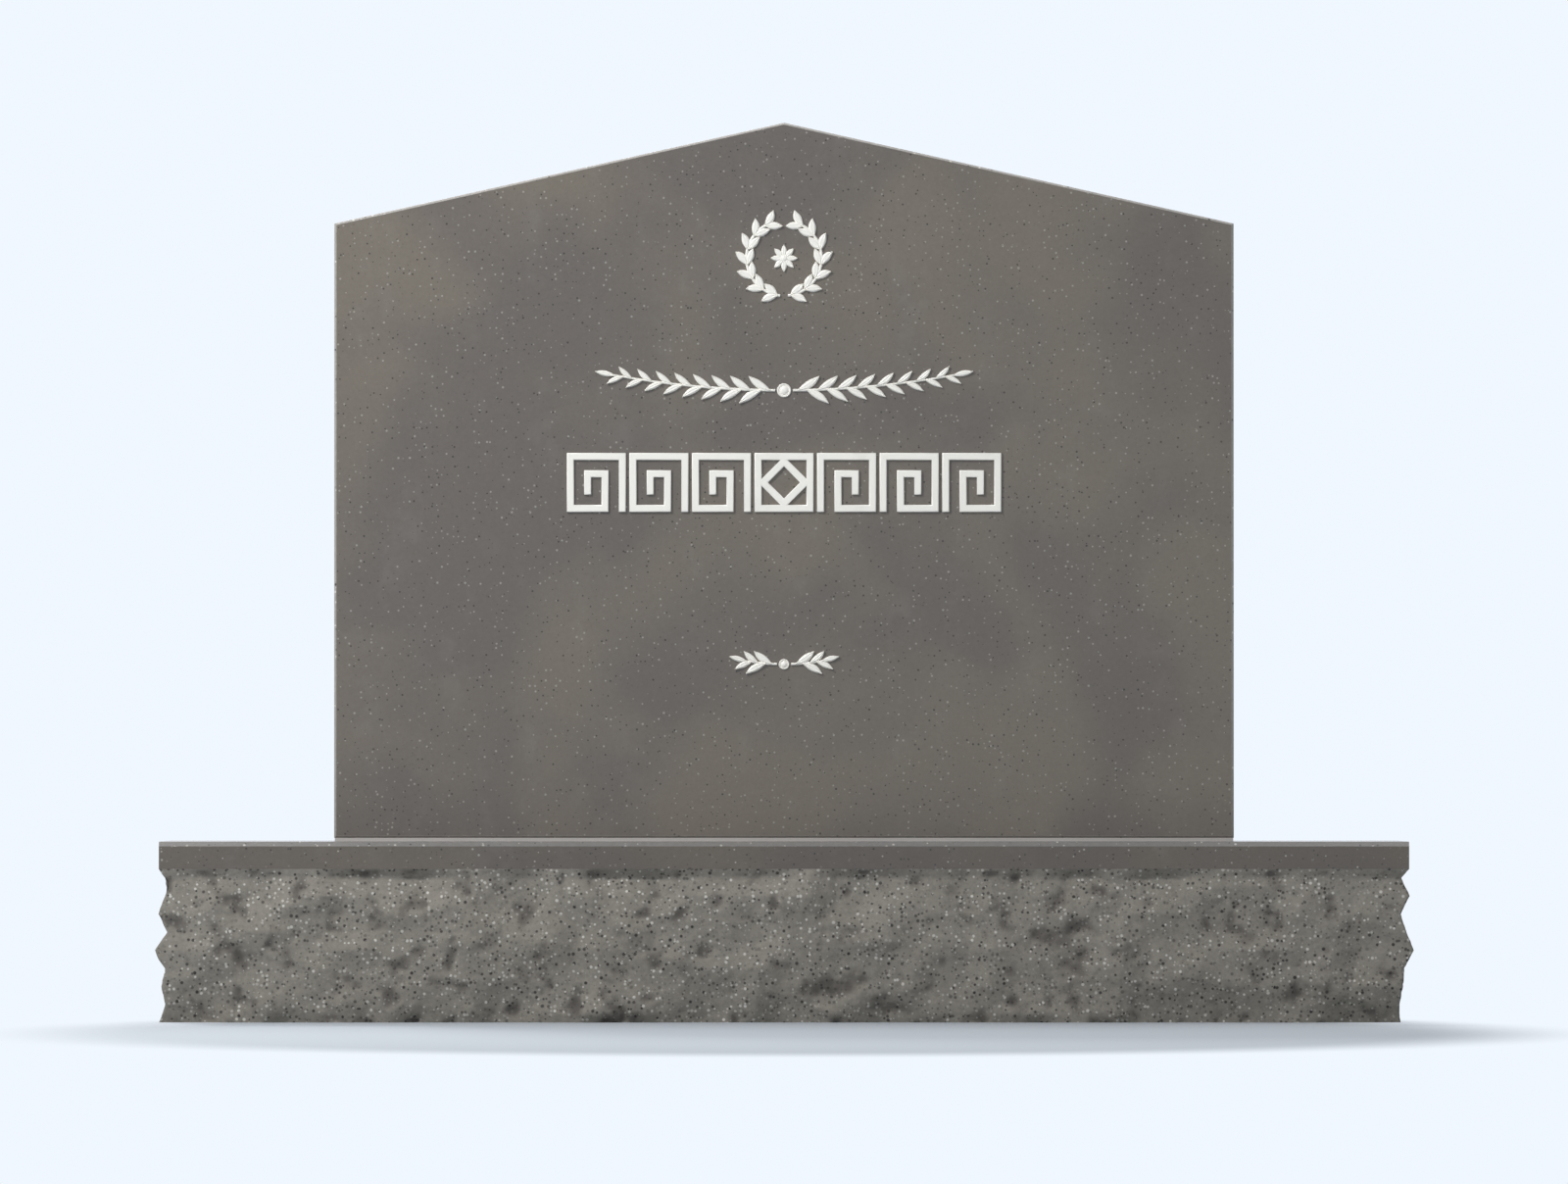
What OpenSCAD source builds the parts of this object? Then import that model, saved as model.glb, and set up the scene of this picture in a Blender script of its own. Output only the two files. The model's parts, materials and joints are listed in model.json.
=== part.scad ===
// A peaked granite headstone: a polished tablet dowelled to a rock-pitched base,
// with a raised wreath, laurel, key band and sprig on its face.
// Millimetres, +Z up. The origin is the middle of the base's underside, and -Y is the front.

/* [Base] */
// Length of the base at its polished margin
base_length = 1054; // [850:1:1300]
// Depth of the base at its polished margin, front to back
base_depth = 287; // [230:1:400]
// Height of the base
base_height = 152.4; // [120:0.1:200]
// Height of the smooth margin under the top, with its chamfer
margin_height = 23; // [12:0.5:40]
// Chamfer along the front and back of the polished top
base_chamfer = 4; // [2:0.5:8]
// Most that the pitched front and back swell past the margin
front_swell = 8; // [3:0.5:16]
// Depth of the deepest flake scar in a pitched face
scar_depth = 6; // [2:0.5:10]

/* [Tablet] */
// Width of the tablet
tablet_width = 762; // [600:1:900]
// Height of the tablet at its peak
tablet_height = 606; // [540:1:720]
// Rise of the tablet's top from its shoulders to its peak
gable_rise = 85.5; // [20:0.5:140]
// Thickness of the tablet, front to back
tablet_thickness = 152.4; // [100:0.1:200]
// Chamfer on the tablet's front and back arrises
tablet_chamfer = 1.5; // [1:0.25:5]

/* [Setting] */
// Thickness of the bed of setting compound between tablet and base
joint_thickness = 3; // [2:0.5:8]
// How far the bed stops short of the tablet's faces
joint_inset = 0.5; // [0:0.5:6]
// Diameter of each dowel
dowel_diameter = 16; // [10:1:24]
// Depth of each dowel's socket in either stone
socket_depth = 50; // [30:1:80]
// Distance between the two dowels
dowel_spacing = 380; // [240:10:480]

/* [Ornament] */
// How far the raised ornament stands off the tablet
relief = 2.5; // [1.5:0.5:5]
// Width of the wreath from leaf to leaf
wreath_width = 76; // [56:1:92]
// Drop from the tablet's peak to the wreath's centre
wreath_drop = 115; // [90:1:150]
// Length of the laurel from tip to tip
laurel_length = 322; // [240:2:400]
// Drop from the wreath's centre to the laurel's line
laurel_drop = 112; // [85:1:140]
// Height of the key band, and width of each of its keys
key_height = 50; // [36:1:62]
// Gap between one key and the next
key_gap = 3; // [2:0.5:8]
// Width of the key band's strokes
key_stroke = 6; // [3:0.5:7]
// Drop from the laurel's line to the middle of the key band
key_drop = 78; // [60:1:110]
// Length of the small sprig from tip to tip
sprig_length = 95; // [76:1:140]
// Drop from the middle of the key band to the sprig's line
sprig_drop = 154; // [70:1:180]

/* [Hidden] */
$fn = 48;

granite_polished = "#757069";
granite_pitched = "#76736d";
compound_grey = "#a09c96";
steel_grey = "#b4b6b8";
enamel_white = "#f5f3ee";

// Pitched faces: one ring of points a half course, and the points along each side of a ring
pitched_height = base_height - margin_height;
rings = 17;
front_steps = 48;
end_steps = 13;

// How far each course of an end stands out or is bitten in, from the bottom up
left_courses = [1.5, -2, 1, -4.5, 5, -4.5, 3.5, -4, -1.5];
right_courses = [-2, -4.5, -5, -3, 5, 0.5, -4, 1.5, -2.5];

// Flake scars: the cell each one lies in, how round its bowl is, and its steepest lean
scar_cell = 34;
scar_radius = 58;
scar_lean = 0.5;
scar_ridge = 2.5;
end_scar_share = 0.6;
arris_slope = 1.1;

// Each face takes its scars from its own stretch of the hash
front_seed = 1000;
back_seed = 4000;
left_seed = 7000;
right_seed = 9000;

tablet_foot = base_height + joint_thickness;
peak_level = tablet_foot + tablet_height;
wreath_level = peak_level - wreath_drop;
laurel_level = wreath_level - laurel_drop;
key_level = laurel_level - key_drop;
sprig_level = key_level - sprig_drop;
socket_clearance = 0.3;
socket_diameter = dowel_diameter + 2 * socket_clearance;
dowel_end_gap = 1;
dowel_chamfer = 1;

gable_angle = atan(gable_rise / (tablet_width / 2));

// ---- Pitched faces ----

// A number from 0 to 1 that is always the same for the same n
function hash(n) = let (s = sin(n * 12.9898 + 78.233) * 43758.5453) s - floor(s);

// The bowl of the flake scar in cell (i, j), met at (u, z) on its face
function scar(u, z, i, j, seed) =
    let (
        n = seed + 57 * i + 131 * j,
        du = u - (i + 0.15 + 0.7 * hash(n)) * scar_cell,
        dz = z - (j + 0.15 + 0.7 * hash(n + 1)) * scar_cell
    )
    (du * du + dz * dz) / (2 * scar_radius) - scar_depth * hash(n + 2)
    + scar_lean * ((hash(n + 3) - 0.5) * du + (hash(n + 4) - 0.5) * dz);

// The lowest of the scars near (u, z), so that neighbours meet in a sharp ridge
function scarred(u, z, seed) =
    let (i = floor(u / scar_cell), j = floor(z / scar_cell))
    min([for (a = [i - 2 : i + 2], b = [j - 2 : j + 2]) scar(u, z, a, b, seed)]) - scar_ridge;

// Keeps a pitched face from crossing its straight upper arris
function under_arris(out, z) =
    let (reach = arris_slope * (pitched_height - z))
    max(-reach, min(reach, out));

// How far the front or back stands out at (u, z)
function long_face(u, z, seed) =
    let (
        t = z / pitched_height,
        swell = front_swell * (0.2 * (1 - t) + 0.95 * (1 - pow(abs(2 * t - 1), 2.5)))
    )
    under_arris(min(front_swell + 1, swell + scarred(u, z, seed)), z);

// How far an end stands out at (v, z): its course's line, less a share of the scars
function end_face(v, z, courses, seed) =
    let (line = lookup(z, [
        for (k = [0 : len(courses) - 1]) [k * 2 * pitched_height / rings, courses[k]],
        [pitched_height, 0]
    ]))
    under_arris(line + end_scar_share * min(0, scarred(v, z, seed)), z);

// One ring of the base's points at height z, its front and back set in from the margin
function ring_points(z, pitched, inset) =
    let (
        half_l = base_length / 2,
        half_d = base_depth / 2 - inset,
        front = function (u) pitched ? long_face(u, z, front_seed) : 0,
        back = function (u) pitched ? long_face(u, z, back_seed) : 0,
        left = function (v) pitched ? end_face(v, z, left_courses, left_seed) : 0,
        right = function (v) pitched ? end_face(v, z, right_courses, right_seed) : 0,
        fl = [-half_l - left(0), -half_d - front(0)],
        fr = [half_l + right(0), -half_d - front(base_length)],
        br = [half_l + right(base_depth), half_d + back(base_length)],
        bl = [-half_l - left(base_depth), half_d + back(0)]
    )
    [
        for (i = [0 : front_steps - 1]) let (t = i / front_steps)
            [fl.x + t * (fr.x - fl.x), -half_d - front(t * base_length), z],
        for (i = [0 : end_steps - 1]) let (t = i / end_steps)
            [half_l + right(t * base_depth), fr.y + t * (br.y - fr.y), z],
        for (i = [0 : front_steps - 1]) let (t = i / front_steps)
            [br.x + t * (bl.x - br.x), half_d + back((1 - t) * base_length), z],
        for (i = [0 : end_steps - 1]) let (t = i / end_steps)
            [-half_l - left((1 - t) * base_depth), bl.y + t * (fl.y - bl.y), z]
    ];

module base_block() {
    levels = [
        for (k = [0 : rings]) ring_points(k * pitched_height / rings, k < rings, 0),
        ring_points(base_height - base_chamfer, false, 0),
        ring_points(base_height, false, base_chamfer)
    ];
    n = len(levels[0]);
    top = len(levels) - 1;
    points = [for (level = levels) each level, [0, 0, 0], [0, 0, base_height]];
    low_centre = len(points) - 2;
    high_centre = len(points) - 1;
    faces = [
        for (k = [0 : top - 1], i = [0 : n - 1]) let (a = k * n + i, b = k * n + (i + 1) % n)
            each [[a, a + n, b], [b, a + n, b + n]],
        for (i = [0 : n - 1]) [low_centre, i, (i + 1) % n],
        for (i = [0 : n - 1]) [high_centre, top * n + (i + 1) % n, top * n + i]
    ];
    polyhedron(points = points, faces = faces);
}

module at_each_dowel() {
    for (side = [-1, 1]) translate([side * dowel_spacing / 2, 0]) children();
}

// A socket, a millimetre longer than it is deep so that its cut runs out of the stone
module socket() {
    cylinder(d = socket_diameter, h = socket_depth + 1);
}

module base() {
    color(granite_pitched) difference() {
        base_block();
        translate([0, 0, base_height - socket_depth]) at_each_dowel() socket();
    }
}

// ---- Tablet ----

// The tablet's five-sided outline, moved in by inset along every side
function tablet_outline(inset) =
    let (
        half = tablet_width / 2 - inset,
        peak = tablet_height - inset / cos(gable_angle),
        shoulder = peak - half * tan(gable_angle)
    )
    [[-half, inset], [half, inset], [half, shoulder], [0, peak], [-half, shoulder]];

module tablet_block() {
    front = -tablet_thickness / 2;
    layers = [
        [front, tablet_chamfer], [front + tablet_chamfer, 0],
        [-front - tablet_chamfer, 0], [-front, tablet_chamfer]
    ];
    points = [
        for (layer = layers, p = tablet_outline(layer[1])) [p.x, layer[0], tablet_foot + p.y]
    ];
    faces = [
        [for (i = [0 : 4]) i],
        for (k = [0 : 2], i = [0 : 4]) let (a = 5 * k + i, b = 5 * k + (i + 1) % 5)
            [a, a + 5, b + 5, b],
        [for (i = [4 : -1 : 0]) 15 + i]
    ];
    polyhedron(points = points, faces = faces);
}

module tablet() {
    color(granite_polished) difference() {
        tablet_block();
        translate([0, 0, tablet_foot - 1]) at_each_dowel() socket();
    }
}

// ---- Setting ----

module setting_joint() {
    color(compound_grey) translate([0, 0, base_height]) linear_extrude(joint_thickness)
        difference() {
            square([tablet_width - 2 * joint_inset, tablet_thickness - 2 * joint_inset],
                   center = true);
            at_each_dowel() circle(d = socket_diameter);
        }
}

module dowel(side) {
    r = dowel_diameter / 2;
    length = 2 * socket_depth + joint_thickness - dowel_end_gap;
    color(steel_grey) translate([side * dowel_spacing / 2, 0, base_height - socket_depth])
        rotate_extrude() polygon([
            [0, 0], [r - dowel_chamfer, 0], [r, dowel_chamfer],
            [r, length - dowel_chamfer], [r - dowel_chamfer, length], [0, length]
        ]);
}

// ---- Ornament, drawn flat with X across the tablet and Y up it ----

module on_tablet(level) {
    color(enamel_white) translate([0, -tablet_thickness / 2, level])
        rotate([90, 0, 0]) linear_extrude(relief) children();
}

// Half of what is on the tablet: 1 is the right half, -1 the left
module half(side) {
    mirror([side < 0 ? 1 : 0, 0]) children();
}

// A pointed leaf that lies along X from its stalk
module leaf(length, width) {
    polygon([
        for (t = [0 : 22.5 : 180]) [length * t / 180, -width / 2 * sin(t)],
        for (t = [157.5 : -22.5 : 22.5]) [length * t / 180, width / 2 * sin(t)]
    ]);
}

// Wreath: two half rings of leaves round a rosette
wreath_leaf = [14.5, 6.6];
wreath_flare = 30;
wreath_stem = 2.4;
wreath_from = -84;
wreath_to = 56;
wreath_pairs = 7;
rosette_petals = 8;
rosette_petal = [10.5, 4.6];
rosette_disc = 7;

module half_wreath() {
    radius = wreath_width / 2 - wreath_leaf.x * sin(wreath_flare) - 0.5;
    steps = 18;
    span = [for (k = [0 : steps]) wreath_from + k * (wreath_to + 14 - wreath_from) / steps];
    polygon([
        for (t = span) (radius + wreath_stem / 2) * [cos(t), sin(t)],
        for (k = [steps : -1 : 0]) (radius - wreath_stem / 2) * [cos(span[k]), sin(span[k])]
    ]);
    for (k = [0 : wreath_pairs - 1], side = [-1, 1]) {
        t = wreath_from + 4 + k * (wreath_to - wreath_from) / (wreath_pairs - 1);
        rotate(t) translate([radius, 0]) rotate(90 - side * wreath_flare)
            leaf(wreath_leaf.x, wreath_leaf.y);
    }
}

module wreath(side) {
    on_tablet(wreath_level) half(side) half_wreath();
}

module wreath_rosette() {
    on_tablet(wreath_level) {
        circle(d = rosette_disc);
        for (k = [0 : rosette_petals - 1]) rotate(k * 360 / rosette_petals)
            translate([1, 0]) leaf(rosette_petal.x, rosette_petal.y);
    }
}

// Laurel: two sprays that spread from a round boss
boss_diameter = 12;
boss_gap = 1.5;
laurel_pairs = 8;
laurel_rise = 16;
laurel_leaf = [22, 6.2];
laurel_stem = 2.2;
leaf_flare = 32;

// A spray from start to x = length, with its leaves shrinking towards the tip
module spray(length, rise, pairs, size, stem, start) {
    curve = function (x) rise * pow(x / length, 2);
    first = start + 4;
    last = length - size.x * 0.7;
    steps = 12;
    xs = [for (k = [0 : steps]) start + k * (last - start) / steps];
    polygon([
        for (x = xs) [x, curve(x) - stem / 2],
        for (k = [steps : -1 : 0]) [xs[k], curve(xs[k]) + stem / 2]
    ]);
    for (k = [0 : pairs - 1], side = [-1, 1]) {
        x = first + (k + (side > 0 ? 0 : 0.45)) * (last - first) / pairs;
        shrink = 1 - 0.35 * k / pairs;
        translate([x, curve(x)])
            rotate(atan(2 * rise * x / pow(length, 2)) + side * leaf_flare)
            leaf(size.x * shrink, size.y * shrink);
    }
    translate([last - 2, curve(last - 2)]) rotate(atan(2 * rise / length))
        leaf(length - last + 2, size.y * 0.7);
}

module laurel(side) {
    on_tablet(laurel_level) half(side)
        spray(laurel_length / 2, laurel_rise, laurel_pairs, laurel_leaf, laurel_stem,
              boss_diameter / 2 + boss_gap);
}

module laurel_boss() {
    on_tablet(laurel_level) circle(d = boss_diameter);
}

// Key band: seven square keys, three turned each way from the middle one
key_path = [[0, 0], [0, 3], [3, 3], [3, 0], [1, 0], [1, 2], [2, 2], [2, 1]];

module bar(from, to) {
    translate([min(from.x, to.x), min(from.y, to.y)])
        square([abs(to.x - from.x) + key_stroke, abs(to.y - from.y) + key_stroke]);
}

// The key that is index places from the middle: negative to the left
module key(index) {
    turn = (key_height - key_stroke) / 3;
    on_tablet(key_level) half(sign(index))
        translate([abs(index) * (key_height + key_gap) - key_height / 2, -key_height / 2])
        for (k = [0 : len(key_path) - 2]) bar(key_path[k] * turn, key_path[k + 1] * turn);
}

module square_ring(side) {
    difference() {
        square(side, center = true);
        square(side - 2 * key_stroke, center = true);
    }
}

module key_middle() {
    on_tablet(key_level) {
        square_ring(key_height);
        rotate(45) square_ring((key_height - key_stroke) / sqrt(2));
    }
}

// Sprig: the laurel again, small
sprig_boss_diameter = 9;
sprig_pairs = 2;
sprig_rise = 6;
sprig_leaf = [19, 6];
sprig_stem = 2;

module sprig(side) {
    on_tablet(sprig_level) half(side)
        spray(sprig_length / 2, sprig_rise, sprig_pairs, sprig_leaf, sprig_stem,
              sprig_boss_diameter / 2 + boss_gap);
}

module sprig_boss() {
    on_tablet(sprig_level) circle(d = sprig_boss_diameter);
}

base();
tablet();
setting_joint();
dowel(-1);  // dowel_left
dowel(1);  // dowel_right
wreath(-1);  // wreath_left
wreath(1);  // wreath_right
wreath_rosette();
laurel(-1);  // laurel_left
laurel(1);  // laurel_right
laurel_boss();
key(-3);  // key_left_3
key(-2);  // key_left_2
key(-1);  // key_left_1
key_middle();
key(1);  // key_right_1
key(2);  // key_right_2
key(3);  // key_right_3
sprig(-1);  // sprig_left
sprig(1);  // sprig_right
sprig_boss();
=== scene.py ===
"""A peaked granite headstone on a rock-pitched base, finished for rendering."""

import json
import math

import bmesh
import bpy
from bpy.props import FloatProperty, FloatVectorProperty, IntProperty, PointerProperty
from mathutils import Matrix, Vector, noise

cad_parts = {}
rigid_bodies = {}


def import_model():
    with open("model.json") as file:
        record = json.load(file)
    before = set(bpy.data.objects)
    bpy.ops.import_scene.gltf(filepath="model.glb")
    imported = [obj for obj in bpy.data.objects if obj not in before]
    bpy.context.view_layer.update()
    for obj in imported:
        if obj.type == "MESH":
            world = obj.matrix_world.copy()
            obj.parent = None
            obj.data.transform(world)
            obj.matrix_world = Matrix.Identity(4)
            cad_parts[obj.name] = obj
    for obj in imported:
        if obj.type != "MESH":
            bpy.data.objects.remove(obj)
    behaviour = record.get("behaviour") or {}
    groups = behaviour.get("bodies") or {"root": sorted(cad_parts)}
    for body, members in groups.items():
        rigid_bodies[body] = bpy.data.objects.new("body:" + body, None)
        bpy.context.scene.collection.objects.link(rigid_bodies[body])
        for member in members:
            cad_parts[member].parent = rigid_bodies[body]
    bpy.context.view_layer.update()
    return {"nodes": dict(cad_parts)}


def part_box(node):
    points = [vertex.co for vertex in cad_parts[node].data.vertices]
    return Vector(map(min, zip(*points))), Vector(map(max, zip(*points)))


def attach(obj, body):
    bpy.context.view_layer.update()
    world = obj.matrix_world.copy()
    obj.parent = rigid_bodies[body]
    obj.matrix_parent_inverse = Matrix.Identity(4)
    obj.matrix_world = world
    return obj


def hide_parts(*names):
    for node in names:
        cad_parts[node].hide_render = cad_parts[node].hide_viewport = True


bl_info = {
    "name": "Peaked Granite Headstone",
    "version": (1, 0, 0),
    "blender": (4, 5, 0),
    "location": "View3D > Sidebar > Headstone",
    "description": "Makes the stones, the setting and the raised ornament of a granite headstone",
    "category": "Object",
}

# Blender's own start objects go before the frame comes in
for leftover in list(bpy.data.objects):
    bpy.data.objects.remove(leftover)
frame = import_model()
BODY = "root"
MM = 0.001
SEAM = 0.002 * MM  # Points of a CAD node that are nearer than this are one point
LEVEL = 0.98  # A face whose normal has this much of a direction faces that way
SLANTED = 0.3  # One with less than that, but more than this, is slanted as an arris is
FLAT = math.radians(1)  # Faces that meet at less than this are one flat face
CREASE = math.radians(20)  # Faces that meet at more than this form an edge
ARRIS_REACH = 3 * MM  # The tablet's arrises lie this near to its front and back

# Weather, and painted shade near the stone and in the pits, each as a share
WEATHER = 0.12
# Strength of the painted shade where the ornament meets the stone
CONTACT_SHADE_SHARE = 0.3
# Strength of the painted shade in the rock face's pits
PIT_SHADE_STRENGTH = 0.75

# The rock face: the usual distance from one shape to the next
FLAKE_SIZE = 15 * MM
CRUMB_SIZE = 6 * MM
SPALL_SIZE = 38 * MM
SPALL_DETAIL = 16 * MM
# The rock face: how far from an edge its shapes come to their full depth
ARRIS_FADE = 8 * MM
CORNER_FADE = 15 * MM
FOOT_FADE = 12 * MM
# The rock face: the noise values at which a shape starts and is complete
PIT_RANGE = (0.12, 0.85)
SPALL_RANGE = (-0.15, 0.45)
# The base's finishes, by the number that its faces hold
BASE_FINISHES = ["pitched_granite", "polished_margin", "shaded_base_arris", "sawn_granite"]
ROCK, MARGIN, ARRIS, SAWN = range(4)

# Leaves and stems
BLUNT = 0.5 * MM  # Least width of a ridge's pointed end
STEP_AHEAD = 0.01  # Along a ridge's path, to find its direction
RIB_REACH = 0.25  # From a leaf's middle, as a share of half its width
SHARP_EDGE = math.radians(50)
STEM_STEPS = 40
STEM_HEIGHT = 0.75  # As a share of the relief
STEM_RIM = 0.25

# Wreath
WREATH_STEM = (math.radians(-84), math.radians(70))
WREATH_STEM_WIDTH = 2.4 * MM
WREATH_LEAVES = (math.radians(-80), math.radians(60))
WREATH_FLARE = math.radians(30)
WREATH_LEAF_WIDTH = 6.6 * MM
WREATH_LEAF_ROOT = 0.5 * MM  # From the stem's middle
PETALS = 8
PETAL_LENGTH = 10.5 * MM
PETAL_WIDTH = 4.8 * MM
PETAL_HEIGHT = 0.8  # As a share of the relief
PETAL_ROOT = 1 * MM  # From the rosette's middle
ROSETTE_EYE = 3.5 * MM

# Laurel and sprig
SPRAY_FLARE = math.radians(32)
SPRAY_STEM = (2.3 * MM, 1.6 * MM)  # Width at its root and at its tip
SPRAY_TAPER = 0.35  # How much smaller the last leaves are
SPRAY_STAGGER = 0.45  # From a leaf to its partner, as a share of the distance between pairs
SPRAY_END = 0.7  # From the stem's end to the spray's tip, as a share of a leaf's length
BOSS_GAP = 1.5 * MM  # From the boss to the stem
FIRST_LEAF = 4 * MM  # From the stem's start
TIP_OVERLAP = 2 * MM  # Of the leaf at the tip over the stem
TIP_WIDTH = 0.75  # Of the leaf at the tip, as a share of the others' width
LAUREL_RISE = 16 * MM
LAUREL_LEAF_WIDTH = 6.4 * MM
SPRIG_RISE = 6 * MM
SPRIG_LEAF_WIDTH = 6.2 * MM
# A boss, as shares of its radius and of the relief
BOSS_DOME = 0.68
BOSS_RIM = {"radius": 0.86, "width": 0.28, "height": 0.6}
BOSS_PLATE_HEIGHT = 0.25

# Stage
KEY_LAMP = {"place": (-1.35, -1.5, 1.85), "aim": (0, 0, 0.45), "size": 0.4}
TOP_LAMP = {"place": (0.0, 0.9, 2.6), "aim": (0, 0, 0.1), "size": 1.8}
BACK_SUN = (-0.25, 1.0, 0.68)
SUN_ANGLE = math.radians(14)
SKY = (0.95, 0.97, 1.0, 1.0)
FLOOR_RADIUS = 80.0
# The oval round the stone where the darker floor shows as a painted shadow pad, and where it fades
# to the backdrop
SHADOW_PAD_OVAL = {"Location": (0, 0.35, 0), "Scale": (0.95, 0.5, 1.0)}
SHADOW_PAD_FADE = (0.48, 0.64)


def linear(red, green, blue):
    """A colour given as 0 to 255 screen values, as linear light with full alpha."""
    def one(value):
        value /= 255
        return value / 12.92 if value <= 0.04045 else ((value + 0.055) / 1.055) ** 2.4
    return (one(red), one(green), one(blue), 1.0)


def colour_property(name, description, default):
    """A colour that the user can set."""
    return FloatVectorProperty(
        name=name, description=description, default=default, size=4, subtype="COLOR", min=0, max=1)


def length_property(name, description, default):
    """A length in metres that the user can set."""
    return FloatProperty(
        name=name, description=description, default=default, min=0, subtype="DISTANCE",
        unit="LENGTH", precision=5)


# ---- Settings ----

class StoneSettings(bpy.types.PropertyGroup):
    margin: length_property(
        "Margin", "Height of the polished margin above the pitched face", 23 * MM)
    arris_round: length_property(
        "Arris rounding", "Rounding along each side of an arris", 0.35 * MM)
    grain_step: length_property(
        "Rock step", "Longest course edge left before the rock face is divided", 12 * MM)
    flake_depth: length_property(
        "Flake depth", "Depth of the small flakes broken from the rock face", 0.7 * MM)
    pit_depth: length_property(
        "Pit depth", "Depth of the dark pits in the rock face", 2.2 * MM)
    pit_size: length_property(
        "Pit size", "Usual distance from one pit to the next", 17 * MM)
    crumb_depth: length_property(
        "Crumb depth", "Depth of the crumbly grain on the rock face", 0.5 * MM)
    spall_depth: length_property(
        "Spall depth", "Depth of the broad spalls that break the courses at the ends", 13 * MM)


class GraniteSettings(bpy.types.PropertyGroup):
    warm: colour_property("Warm tone", "The granite's olive brown tone", linear(118, 110, 99))
    cool: colour_property("Cool tone", "The granite's purple grey tone", linear(105, 98, 92))
    margin_warm: colour_property(
        "Margin warm tone", "The base's polished olive brown tone", linear(104, 96, 86))
    margin_cool: colour_property(
        "Margin cool tone", "The base's polished purple grey tone", linear(96, 89, 83))
    pitched: colour_property("Pitched tone", "The broken granite's tone", linear(138, 133, 124))
    pitched_low: colour_property(
        "Pitched low tone", "The broken granite's darker tone", linear(135, 130, 121))
    honed: colour_property("Honed tone", "The tone of the honed arrises", linear(156, 152, 147))
    dark_fleck: colour_property("Dark fleck", "Colour of the mica flecks", linear(46, 43, 41))
    light_fleck: colour_property(
        "Light fleck", "Colour of the feldspar flecks", linear(208, 204, 196))
    dark_crystal: colour_property(
        "Dark crystal", "Colour of the mica under the polish", linear(58, 55, 53))
    light_crystal: colour_property(
        "Light crystal", "Colour of the feldspar under the polish", linear(165, 161, 153))
    # Painted shade: a darker copy of the honed tone, to hold down the light that this
    # upward-facing arris catches
    shaded_base_arris: colour_property(
        "Base arris tone", "The tone of the base's honed arris", linear(120, 117, 113))
    # Painted shade: the colour that the rock face's pits are darkened towards
    shaded_pit: colour_property("Pit", "Colour deep in the rock face's pits", linear(64, 59, 56))
    compound: colour_property(
        "Compound", "Colour of the setting compound", linear(190, 186, 182))


class OrnamentSettings(bpy.types.PropertyGroup):
    enamel: colour_property("Enamel", "Colour of the ornament's enamel", linear(253, 250, 242))
    # Used both for weather dust and for the painted shade low down where the ornament meets the
    # stone
    grime_and_shade: colour_property("Grime", "Colour where dirt gathers", linear(150, 143, 132))
    leaf_rib: FloatProperty(
        name="Rib depth", description="Depth of a leaf's middle rib, as a share of its height",
        default=0.22, min=0, max=0.6, subtype="FACTOR")
    bevel: length_property("Bevel", "Rounding along the key band's front edges", 0.9 * MM)
    wreath_leaf: length_property("Wreath leaf", "Length of a leaf of the wreath", 14.5 * MM)
    laurel_leaf: length_property("Laurel leaf", "Length of a leaf of the laurel", 22 * MM)
    sprig_leaf: length_property("Sprig leaf", "Length of a leaf of the sprig", 19 * MM)
    wreath_pairs: IntProperty(
        name="Wreath pairs", description="Pairs of leaves on each half of the wreath",
        default=7, min=2, max=12)
    laurel_pairs: IntProperty(
        name="Laurel pairs", description="Pairs of leaves on each spray of the laurel",
        default=8, min=2, max=14)
    sprig_pairs: IntProperty(
        name="Sprig pairs", description="Pairs of leaves on each spray of the sprig",
        default=2, min=1, max=6)


class StageSettings(bpy.types.PropertyGroup):
    backdrop: colour_property("Backdrop", "Colour behind the stone", linear(240, 247, 255))
    # Darker than the backdrop, so that the floor round the stone is a painted shadow pad as well
    # as taking the real shadow
    floor: colour_property("Floor", "Colour of the floor near the stone", linear(175, 181, 187))
    distance: length_property("Distance", "From the camera to the tablet's front", 14.0)
    field: length_property("Field", "Width that the camera sees at the tablet's front", 1.3282)
    eye: length_property("Eye height", "Height of the camera", 0.2)
    aim: length_property("Aim height", "Height that the camera points at", 0.3636)
    key_power: FloatProperty(
        name="Key power", description="Power of the key light", default=38, min=0, unit="POWER")
    top_power: FloatProperty(
        name="Top power", description="Power of the light above", default=36, min=0, unit="POWER")
    back_strength: FloatProperty(
        name="Back strength", description="Strength of the sun behind", default=1.5, min=0)
    ambient: FloatProperty(
        name="Ambient", description="Strength of the light from all round", default=0.42, min=0)


# ---- Shader helpers ----

def feed(tree, node, inputs):
    """Links a node's named or numbered inputs to other sockets, or sets them to plain values."""
    for name, value in inputs.items():
        if isinstance(value, bpy.types.NodeSocket):
            tree.links.new(value, node.inputs[name])
        else:
            node.inputs[name].default_value = value


def add_node(tree, kind, inputs=None, **options):
    """Adds a node, sets its options, then feeds its inputs."""
    node = tree.nodes.new(kind)
    for name, value in options.items():
        setattr(node, name, value)
    feed(tree, node, inputs or {})
    return node


def math_node(tree, operation, first, second=0.0, third=0.0, clamp=False):
    """The result of an operation on up to three values."""
    return add_node(tree, "ShaderNodeMath", {0: first, 1: second, 2: third},
                    operation=operation, use_clamp=clamp).outputs[0]


def mix_colour(tree, factor, first, second):
    """The first colour where the factor is 0 and the second where it is 1."""
    return add_node(tree, "ShaderNodeMix", {0: factor, 6: first, 7: second},
                    data_type="RGBA").outputs[2]


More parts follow.
